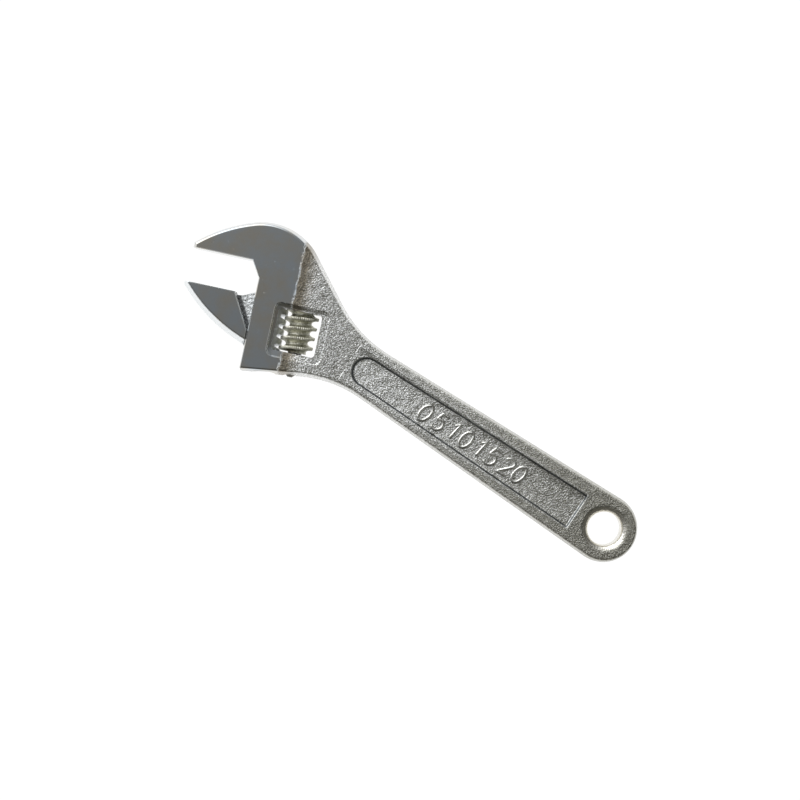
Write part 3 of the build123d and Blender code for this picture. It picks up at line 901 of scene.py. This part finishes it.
# painted shade: dark grey on the web along the foot of the block's heel
HEEL_CORNER_SHADE = "#3a3b3c"
WEB_LEVEL = 2.6  # the web is below this
CORNER_SHADE_WIDTH = 1.2
CORNER_SHADE_CORE = 0.6
CORNER_SHADE_OFFSET = 0.3
FRONT_OF_HEAD = -14.5
HEEL_TOP = (-20.5, 8.0)  # ends of the corner's line, along reach and slide
HEEL_BOTTOM = (-14.75, -2.4)
heel_run = np.array(HEEL_BOTTOM) - np.array(HEEL_TOP)
heel_side = np.array([-heel_run[1], heel_run[0]]) / np.linalg.norm(heel_run)
HEEL_NORMAL = (*heel_side.tolist(), 0.0)
HEEL_DISTANCE = float(heel_side @ np.array(HEEL_TOP))


def painted_corner_shade(tree, place, satin, level):
    """Share of painted shade: one near the corner's line, on the web only and in front of the head."""
    axes = add(tree, "ShaderNodeSeparateXYZ", {"Vector": place})
    along = add(tree, "ShaderNodeVectorMath", {0: place, 1: HEEL_NORMAL}, operation="DOT_PRODUCT")
    offset = add(tree, "ShaderNodeMath", {0: along, 1: HEEL_DISTANCE + CORNER_SHADE_OFFSET},
                 operation="SUBTRACT")
    distance = add(tree, "ShaderNodeMath", {0: offset}, operation="ABSOLUTE")
    share = add(tree, "ShaderNodeMapRange",
                {"Value": distance, "From Min": CORNER_SHADE_WIDTH, "From Max": CORNER_SHADE_CORE, "To Max": 0.85})
    on_web = add(tree, "ShaderNodeMapRange",
                 {"Value": level, "From Min": WEB_LEVEL, "From Max": WEB_LEVEL - 0.2})
    in_front = add(tree, "ShaderNodeMapRange",
                   {"Value": axes.outputs["X"], "From Min": FRONT_OF_HEAD + 0.4,
                    "From Max": FRONT_OF_HEAD})
    for mask in (satin, on_web, in_front):
        share = add(tree, "ShaderNodeMath", {0: share, 1: mask}, operation="MULTIPLY")
    return share


def milled_and_ground_chrome():
    """Chrome that is smooth on the jaw's ground faces and satin everywhere below them."""
    material, tree, shader = new_material("chrome_on_milled_and_ground_jaw")
    place = head_coordinates(tree)
    axes = add(tree, "ShaderNodeSeparateXYZ", {"Vector": place})
    level = add(tree, "ShaderNodeMath", {0: axes.outputs["Z"]}, operation="ABSOLUTE")
    satin = add(tree, "ShaderNodeMapRange",
                {"Value": level, "From Min": GROUND_LEVEL, "From Max": GROUND_LEVEL - LEVEL_BLEND})
    clouds = add(tree, "ShaderNodeTexNoise",
                 {"Vector": place, "Scale": 1 / CLOUDS, "Detail": 4.0, "Roughness": 0.6})
    waves = add(tree, "ShaderNodeTexNoise",
                {"Vector": place, "Scale": 1 / SATIN_WAVES, "Detail": 3.0, "Roughness": 0.6})
    height = add(tree, "ShaderNodeMath", {0: waves, 1: satin}, operation="MULTIPLY")
    relief = add(tree, "ShaderNodeBump",
                 {"Height": height, "Strength": 1.0, "Distance": SATIN_DEPTH * MM})
    tint = add(tree, "ShaderNodeValToRGB", {"Fac": clouds},
               stops=[(0.35, linear("#bfbbb2")), (0.65, linear("#b9c0c6"))])
    corner_shade = painted_corner_shade(tree, place, satin, level)
    # the satin colour, then the painted shade along the heel's corner
    for share, layer in [(satin, SATIN_CHROME), (corner_shade, HEEL_CORNER_SHADE)]:
        tint = add(tree, "ShaderNodeMix", {"Factor": share, "A": tint, "B": linear(layer)},
                   data_type="RGBA")
    gloss = add(tree, "ShaderNodeMapRange",
                {"Value": satin, "To Min": GROUND_ROUGHNESS, "To Max": SATIN_ROUGHNESS})
    connect(shader, {"Base Color": tint, "Roughness": gloss, "Normal": relief})
    return material


jaw_chrome = milled_and_ground_chrome()
print("made", jaw_chrome.name)

# %% [markdown]
# ## Numbers, pin and spring
#
# The numbers' crests are polished by hands, so they are brighter and smoother than the forging
# they stand on. The pin is plain oiled steel, darkened by handling. The spring is drawn wire,
# bright and smooth. They share one recipe, a soft patchy metal, with their own colours and gloss.

# %% Metal for the small pieces


def patchy_metal(name, light, dark, roughness, patch_size, patch_depth):
    """Metal with patches between two colours and a faint unevenness of the same size, in mm."""
    material, tree, shader = new_material(name)
    place = head_coordinates(tree)
    patches = add(tree, "ShaderNodeTexNoise",
                  {"Vector": place, "Scale": 1 / patch_size, "Detail": 3.0, "Roughness": 0.6})
    tint = add(tree, "ShaderNodeValToRGB", {"Fac": patches},
               stops=[(0.38, linear(dark)), (0.62, linear(light))])
    relief = add(tree, "ShaderNodeBump",
                 {"Height": patches, "Strength": 1.0, "Distance": patch_depth * MM})
    connect(shader, {"Base Color": tint, "Roughness": roughness, "Normal": relief})
    return material


number_chrome = patchy_metal("chrome_on_raised_numbers", "#f0f0ee", "#b9b8b0", 0.2, 0.4, 0.12)
pin_steel = patchy_metal("darkened_pin_steel", "#86847c", "#5c5a54", 0.4, 1.0, 0.03)
spring_steel = patchy_metal("drawn_spring_wire", "#d6d6d2", "#b0afa8", 0.25, 0.8, 0.01)
print("made", number_chrome.name, pin_steel.name, spring_steel.name)

# %% [markdown]
# ## Steel of the worm
#
# The worm is turned from steel and lightly plated: duller and warmer than chrome, with a film of
# oil that has collected dust in the thread. The knurling tool ran over the whole blank, and its
# ghost is left in the thread's groove too: fine straight lines along the worm. The angle round
# the worm's axis is the arctangent of two coordinates, and a sine of it makes the lines.

# %% Worm material
HATCH_DEPTH = 0.05
HATCH_SHARE = 0.5  # height of the lines, next to patches of height one
WORM_PATCHES = 0.7
WORM_ROUGHNESS = 0.4


def knurled_steel():
    """Turned steel under oil, with straight lines along the worm, as many as the knurls."""
    material, tree, shader = new_material("oiled_knurled_steel")
    place = head_coordinates(tree)
    axes = add(tree, "ShaderNodeSeparateXYZ", {"Vector": place})
    around = add(tree, "ShaderNodeMath", {0: axes.outputs["Z"], 1: axes.outputs["X"]},
                 operation="ARCTAN2")
    turned = add(tree, "ShaderNodeMath", {0: around, 1: float(KNURLS)}, operation="MULTIPLY")
    lines = add(tree, "ShaderNodeMath", {0: turned}, operation="SINE")
    patches = add(tree, "ShaderNodeTexNoise",
                  {"Vector": place, "Scale": 1 / WORM_PATCHES, "Detail": 3.0, "Roughness": 0.6})
    height = add(tree, "ShaderNodeMath", {0: lines, 1: HATCH_SHARE, 2: patches},
                 operation="MULTIPLY_ADD")
    relief = add(tree, "ShaderNodeBump",
                 {"Height": height, "Strength": 1.0, "Distance": HATCH_DEPTH * MM})
    tint = add(tree, "ShaderNodeValToRGB", {"Fac": patches},
               stops=[(0.38, linear("#b8b6a4")), (0.62, linear("#e9e8db"))])
    connect(shader, {"Base Color": tint, "Roughness": WORM_ROUGHNESS, "Normal": relief})
    return material


worm_steel = knurled_steel()
print("made", worm_steel.name)

# %% [markdown]
# ## Dressing
#
# Every piece is one metal all through, so it wears one material on all its slots.

# %% Dress the pieces


def dress(piece, material):
    """Puts one material on every slot of a piece."""
    if not piece.material_slots:
        piece.data.materials.append(material)
    for slot in piece.material_slots:
        slot.material = material
    print(piece.name, "wears", material.name)


dress(frame["nodes"]["wrench_body"], body_chrome)
dress(frame["nodes"]["movable_jaw"], jaw_chrome)
dress(frame["nodes"]["worm_pin"], pin_steel)
dress(raised_numbers, number_chrome)
dress(knurled_worm, worm_steel)
dress(coil_spring, spring_steel)
